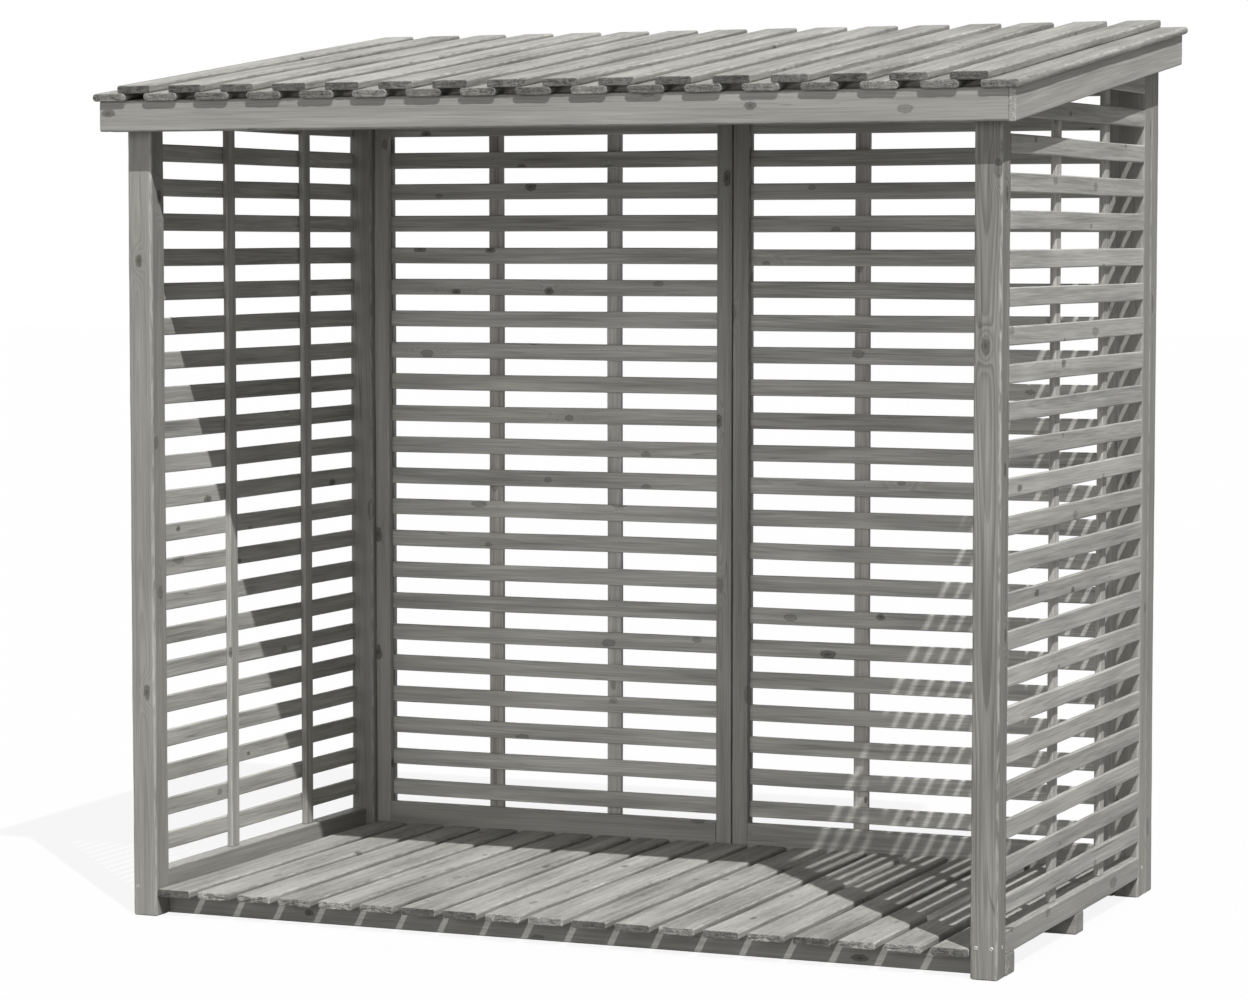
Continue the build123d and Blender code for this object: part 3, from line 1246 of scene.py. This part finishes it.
@dataclass
class BackPanel(Timberwork):
    """Frame, slats and rear battens of one back panel.

    Attributes:
        side: Which panel.
    """

    # Slats and rear battens take this paler finish, which holds painted light for the brighter shade on the
    # back wall.
    finish: WeatheredWood = LIT_BACK_SLAT_WOOD
    stock: Stock = SLAT_STOCK
    side: Side = Side.LEFT

    def build(self) -> None:
        """Make the slats and battens and the frame before them."""
        stem = f"back_{self.side.word}"
        self.piece(f"{stem}_slats", self.bars(f"{stem}_slats", self.SIDE_TO_SIDE))
        self.piece(f"{stem}_battens", self.uprights(f"{stem}_battens"))
        panel = Timberwork(FRAME_WOOD, FRAME_STOCK)
        panel.piece(f"{stem}_stiles", self.uprights(f"{stem}_stiles"))
        panel.piece(f"{stem}_rail_bottom", self.bars(f"{stem}_rail_bottom", self.SIDE_TO_SIDE))
        panel.piece(f"{stem}_rail_top", self.sloped_tops(f"{stem}_rail_top"))


@dataclass
class RoofFrame(Timberwork):
    """Beams, purlins, fascia boards and barge boards.

    Attributes:
        barge_finish: Finish of the barge boards, a paler copy of the fascia's finish that holds painted
            sunlight.
        hidden: Nodes of the timbers that carry the roof boards.
        fascias: Nodes of the front and rear fascia boards.
    """

    finish: WeatheredWood = FASCIA_WOOD
    stock: Stock = FASCIA_STOCK
    barge_finish: WeatheredWood = SUNLIT_BARGE_WOOD
    hidden: tuple[str, ...] = ("beam_front", "beam_rear", "purlins")
    fascias: tuple[str, ...] = ("fascia_front", "fascia_rear")

    def barge(self, node: str) -> Bar:
        """A board along the slope with plumb-cut ends, as upright sections carried up the slope.

        Args:
            node: Name of the node.

        Returns:
            The board.
        """
        low, high = node_box(node)
        depth = high[2] - low[2] - (high[1] - low[1]) * ROOF.rise
        start = np.array([(low[0] + high[0]) / 2, low[1], low[2] + depth / 2])
        section = rectangle(depth, high[0] - low[0])
        return Bar(start, Y_AXIS + ROOF.rise * Z_AXIS, Z_AXIS, X_AXIS, float(high[1] - low[1]), section)

    def build(self) -> None:
        """Make the timbers that carry the roof boards and the boards round its edge."""
        carriers = Timberwork(FRAME_WOOD, FRAME_STOCK)
        for node in self.hidden:
            carriers.piece(node, self.sloped_tops(node))
        for node in self.fascias:
            self.piece(node, self.sloped_tops(node))
        barges = Timberwork(self.barge_finish, self.stock)
        for side in Side:
            node = f"barge_board_{side.word}"
            barges.piece(node, [self.barge(node)])


@dataclass
class RoofBoards(Timberwork):
    """The two layers of boards down the slope.

    Attributes:
        upper_finish: Finish of the upper boards.
        upper_stock: Kind of the upper boards.
        layers: Nodes of the lower and the upper boards.
    """

    finish: WeatheredWood = ROOF_WOOD
    stock: Stock = LOWER_ROOF_STOCK
    upper_finish: WeatheredWood = UPPER_ROOF_WOOD
    upper_stock: Stock = UPPER_ROOF_STOCK
    layers: tuple[str, ...] = ("roof_boards_lower", "roof_boards_upper")

    AXES: ClassVar[np.ndarray] = np.array([
        np.cos(ROOF.slope) * Y_AXIS + np.sin(ROOF.slope) * Z_AXIS,
        -X_AXIS,
        np.cos(ROOF.slope) * Z_AXIS - np.sin(ROOF.slope) * Y_AXIS,
    ])

    def build(self) -> None:
        """Make both layers."""
        lower, upper = self.layers
        self.piece(lower, self.bars(lower, self.AXES))
        above = Timberwork(self.upper_finish, self.upper_stock)
        above.piece(upper, self.bars(upper, self.AXES))


@dataclass(frozen=True)
class Head:
    """Head of a screw or nail: a profile turned about its axis.

    Attributes:
        radius: Radius of the head.
        proud: How far its top stands out of the timber.
        profile: Shares of radius and height, from the middle outwards.
        turns: How many points go round it.
    """

    radius: float
    proud: float
    profile: tuple[tuple[float, float], ...]
    turns: int

    def surface(self) -> tuple[np.ndarray, np.ndarray, np.ndarray]:
        """The head about the origin: radius r(s) and height h(s) turned through the angle.

        Returns:
            Its points, the vertex numbers of all its faces and how many vertices each face has.
        """
        turn = 2 * pi * np.arange(self.turns) / self.turns
        radius, height = np.array(self.profile).T * np.array([[self.radius], [self.proud]])
        level = np.broadcast_to(height[:, None], (len(height), self.turns))
        rings = np.stack((radius[:, None] * np.cos(turn), radius[:, None] * np.sin(turn), level), axis=2)
        points = np.concatenate((rings.reshape(-1, 3), [[0.0, 0.0, height[0]]]))
        j = np.arange(self.turns)
        k = (j + 1) % self.turns
        fan = np.stack((j, k, np.full(self.turns, len(points) - 1)), axis=1)
        i = np.arange(len(height) - 1)[:, None] * self.turns
        quads = np.stack((i + self.turns + j, i + self.turns + k, i + k, i + j), axis=2).reshape(-1, 4)
        loops = np.concatenate((fan.ravel(), quads.ravel()))
        return points, loops, np.concatenate((np.full(len(fan), 3), np.full(len(quads), 4)))


SCREW = Head(
    radius=0.0052,
    proud=0.0012,
    profile=((0.3, -0.4), (0.38, 0.9), (0.8, 1.0), (1.0, 0.4), (1.04, -0.5)),
    turns=12,
)
NAIL = Head(radius=0.0018, proud=0.0005, profile=((0.6, 1.0), (1.0, 0.3), (1.05, -0.6)), turns=8)


@dataclass
class Fixings:
    """Screws at the posts' feet and nails through slats and boards.

    Attributes:
        foot_height: Height of the screws in the posts' feet.
        foot_shares: Places of the front screws from the middle of each post, as shares of its half width.
        foot_rows: Rows of posts with a screw in their outer sides.
        pair: Half the distance between two nails, along and up.
        board_share: Place of a board's nails from its middle, as a share of its half width.
        LEVEL_BELOW: A direction whose upward part is less than this counts as level.
    """

    foot_height: float = 0.077
    foot_shares: tuple[tuple[Side, float], ...] = ((Side.LEFT, -0.6), (Side.RIGHT, -0.55), (Side.RIGHT, 0.55))
    foot_rows: tuple[str, ...] = ("front", "rear")
    pair: Span = (0.011, 0.009)
    board_share: float = 0.56

    LEVEL_BELOW: ClassVar[float] = 0.5

    def heads(self, name: str, head: Head, places: Sequence[np.ndarray], outwards: np.ndarray) -> None:
        """Set heads into faces, all as one piece.

        Args:
            name: Name of the piece.
            head: Shape of the heads.
            places: Points on the faces.
            outwards: Direction out of the face, for all heads or one row a head.
        """
        at = np.array(places)
        out = np.broadcast_to(outwards, at.shape)
        level = np.abs(out[:, 2:]) < self.LEVEL_BELOW
        first = np.cross(np.where(level, Z_AXIS, X_AXIS), out)
        first /= np.linalg.norm(first, axis=1, keepdims=True)
        turned = np.stack((first, np.cross(out, first), out), axis=1)
        points, loops, sides = head.surface()
        whole = at[:, None] + points[None] @ turned
        numbers = loops[None] + len(points) * np.arange(len(at))[:, None]
        made = mesh_object(name, whole.reshape(-1, 3), numbers.ravel(), np.tile(sides, len(at)))
        dress(made, PLATED)
        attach(made, "root")
        log.info("%s: %d heads", name, len(at))

    def feet(self) -> None:
        """Screws in the feet of the posts: some in front, one in each outer side."""
        places, outwards = [], []
        for side, share in self.foot_shares:
            low, high = node_box(f"post_front_{side.word}")
            middle = (low + high) / 2
            places.append(np.array([middle[0] + share * (high[0] - low[0]) / 2, low[1], self.foot_height]))
            outwards.append(-Y_AXIS)
        for side in Side:
            for row in self.foot_rows:
                low, high = node_box(f"post_{row}_{side.word}")
                outer = high[0] if side is Side.RIGHT else low[0]
                places.append(np.array([outer, (low[1] + high[1]) / 2, self.foot_height]))
                outwards.append(side.value * X_AXIS)
        self.heads("post_foot_screws", SCREW, places, np.array(outwards))

    def crossings(self, slats: str, uprights: str, face: int, outer: bool) -> list[np.ndarray]:
        """Two nails wherever an upright crosses a slat.

        Args:
            slats: Node of the slats.
            uprights: Node of the uprights.
            face: Axis through the slats' thickness.
            outer: Whether the heads are on the slats' higher face along that axis.

        Returns:
            Points on the slats' faces.
        """
        along, up = self.pair
        run = 1 - face
        found = []
        for low, high in solid_boxes(slats, np.eye(3)):
            for near, far in solid_boxes(uprights, np.eye(3)):
                point = (low + high) / 2
                point[face] = high[face] if outer else low[face]
                point[run] = (near[run] + far[run]) / 2
                shift = np.zeros(3)
                shift[run], shift[2] = along, up
                found += [point - shift, point + shift]
        return found

    def walls(self) -> None:
        """Nails through the slats of the side walls and the back wall."""
        for side in Side:
            word = side.word
            places = self.crossings(f"{word}_wall_slats", f"{word}_wall_battens", 0, side is Side.RIGHT)
            self.heads(f"{word}_wall_nails", NAIL, places, side.value * X_AXIS)
            front = self.crossings(f"back_{word}_slats", f"back_{word}_battens", 1, False)
            rear = self.crossings(f"back_{word}_slats", f"back_{word}_stiles", 1, True)
            outwards = np.repeat([-Y_AXIS, Y_AXIS], [len(front), len(rear)], axis=0)
            self.heads(f"back_{word}_nails", NAIL, front + rear, outwards)

    def boards(self, name: str, node: str, axes: np.ndarray, supports: Sequence[float],
               shares: Sequence[float]) -> None:
        """Nails through boards into what carries them.

        Args:
            name: Name of the piece.
            node: Node of the boards.
            axes: Length, first and second axis of the boards' section.
            supports: Places of the carriers from front to back.
            shares: Places of the nails from the middle of a board, as shares of its half width.
        """
        places = []
        for low, high in solid_boxes(node, axes):
            for y in supports:
                along = (y - high[2] * axes[2][1]) / axes[0][1]
                half = (high[1] - low[1]) / 2
                places += [np.array([along, low[1] + half * (1 + share), high[2]]) @ axes for share in shares]
        self.heads(name, NAIL, places, axes[2])

    def build(self) -> None:
        """Make all screws and nails."""
        self.feet()
        self.walls()
        pair = (-self.board_share, self.board_share)
        joists = [sum(corner.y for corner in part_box(node)) / 2 for node in FloorFrame.joists]
        self.boards("floor_nails", "floor_boards", FloorDeck.AXES, joists, pair)
        carriers = [box for node in RoofFrame.hidden for box in solid_boxes(node, np.eye(3))]
        beams = [float(low[1] + high[1]) / 2 for low, high in carriers]
        lower, upper = RoofBoards.layers
        self.boards("roof_nails_lower", lower, RoofBoards.AXES, beams, (0.0,))
        self.boards("roof_nails_upper", upper, RoofBoards.AXES, beams, pair)


@dataclass
class Studio:
    """Floor, light and camera.

    Attributes:
        eye: Place of the camera.
        turn: Turn of the camera to the left of straight ahead, in radians.
        nod: Tilt of the camera, in radians.
        lens: Focal length for a sensor 36 mm wide.
        sight: How far the camera sees, in metres.
        key: Direction towards the key light.
        key_power: Strength of the key light.
        key_size: Its width as an angle, which softens the shadows.
        fill: Direction towards the broad fill light before the open front.
        fill_power: Strength of the fill light.
        fill_size: Its width as an angle.
        rear: Direction towards the soft light behind the store.
        rear_power: Strength of the rear light.
        rear_size: Its width as an angle.
        sky: Level of the light from all round.
        bounce: Share of its light that the floor throws back at the store.
        pale: The floor's own colour where the camera sees it.
        shown: Share of plain white in what the camera sees of the floor.
        floor_reach: How far the floor goes on each way, in metres.
        floor_drop: How far it lies below the posts' feet, in metres.
        SHOWING: Rays that show a background to the camera, straight or by reflection.
    """

    eye: Triple = (3.874, -9.416, 1.766)
    turn: float = 0.3976
    nod: float = -0.0676
    lens: float = 111.0
    sight: float = 500.0
    key: Triple = (0.49, -0.53, 1.0)
    key_power: float = 3.45
    key_size: float = radians(0.55)
    fill: Triple = (0.0, -1.0, 0.16)
    fill_power: float = 0.85
    fill_size: float = radians(40.0)
    rear: Triple = (-0.55, 0.83, 0.05)
    rear_power: float = 1.4
    rear_size: float = radians(30.0)
    sky: float = 0.195
    bounce: float = 0.26
    pale: float = 0.8
    shown: float = 0.9
    floor_reach: float = 60.0
    floor_drop: float = 0.0008

    SHOWING: ClassVar[tuple[str, ...]] = ("Is Camera Ray", "Is Glossy Ray", "Is Transmission Ray")

    def build(self) -> None:
        """Set up everything that isn't part of the store."""
        self.floor()
        self.light()
        self.camera()
        bpy.context.scene.view_settings.view_transform = "Standard"

    def seen(self, g: Graph) -> Value:
        """Whether a ray shows a background to the camera, straight or by reflection.

        Args:
            g: Graph of the material or the world.

        Returns:
            1 for such rays, otherwise 0.
        """
        path = g.node("LightPath")
        straight, glossy, passed = (Value(g, path.outputs[name]) for name in self.SHOWING)
        return (straight + glossy + passed).math("MINIMUM", 1.0)

    def floor(self) -> None:
        """A pale floor that keeps a faint shadow."""
        reach = self.floor_reach
        corners = rectangle(2 * reach, 2 * reach)
        points = np.column_stack((corners, np.full(4, -self.floor_drop)))
        made = mesh_object("studio_floor", points, np.arange(4), np.array([4]))
        paint, g = blank("studio_floor_paint")
        seen = self.seen(g)
        level = self.bounce + seen * (self.pale - self.bounce)
        matt = g.value("BsdfDiffuse", None, {"Color": g.join(level, level, level)})
        glow = g.value("Emission", None, {"Color": WHITE, "Strength": 1.0})
        mixed = g.value("MixShader", None, {0: seen * self.shown, 1: matt, 2: glow})
        g.node("OutputMaterial", None, {"Surface": mixed})
        made.data.materials.append(paint)

    def lamp(self, name: str, towards: Triple, power: float, size: float) -> None:
        """Add a far lamp.

        Args:
            name: Name of the lamp.
            towards: Direction from the store to the lamp.
            power: Its strength.
            size: Its width as an angle.
        """
        data = bpy.data.lights.new(name, "SUN")
        data.energy, data.angle = power, size
        made = bpy.data.objects.new(name, data)
        made.rotation_euler = Vector(towards).to_track_quat("Z", "Y").to_euler()
        bpy.context.scene.collection.objects.link(made)

    def light(self) -> None:
        """A key light, broad lights before and behind, even light from all round and a white background."""
        self.lamp("key_light", self.key, self.key_power, self.key_size)
        self.lamp("fill_light", self.fill, self.fill_power, self.fill_size)
        self.lamp("rear_light", self.rear, self.rear_power, self.rear_size)
        world = bpy.data.worlds.new("studio_world")
        world.use_nodes = True
        bpy.context.scene.world = world
        g = Graph(world.node_tree)
        strength = self.sky + self.seen(g) * (1.0 - self.sky)
        shine = g.value("Background", None, {"Color": WHITE, "Strength": strength})
        g.node("OutputWorld", None, {"Surface": shine})

    def camera(self) -> None:
        """The camera at the photograph's viewing angle."""
        data = bpy.data.cameras.new("camera")
        data.lens = self.lens
        data.clip_end = self.sight
        made = bpy.data.objects.new("camera", data)
        made.location = self.eye
        made.rotation_euler = (pi / 2 + self.nod, 0.0, self.turn)
        bpy.context.scene.collection.objects.link(made)
        bpy.context.scene.camera = made


def main() -> None:
    logging.basicConfig(level=logging.INFO, format="%(name)s: %(message)s")
    parts: list[Timberwork] = [Posts(), FloorFrame(), FloorDeck()]
    parts += [SideWall(side=side) for side in Side] + [BackPanel(side=side) for side in Side]
    parts += [RoofFrame(), RoofBoards()]
    for part in parts:
        part.build()
    Fixings().build()
    Studio().build()


if __name__ == "__main__":
    main()
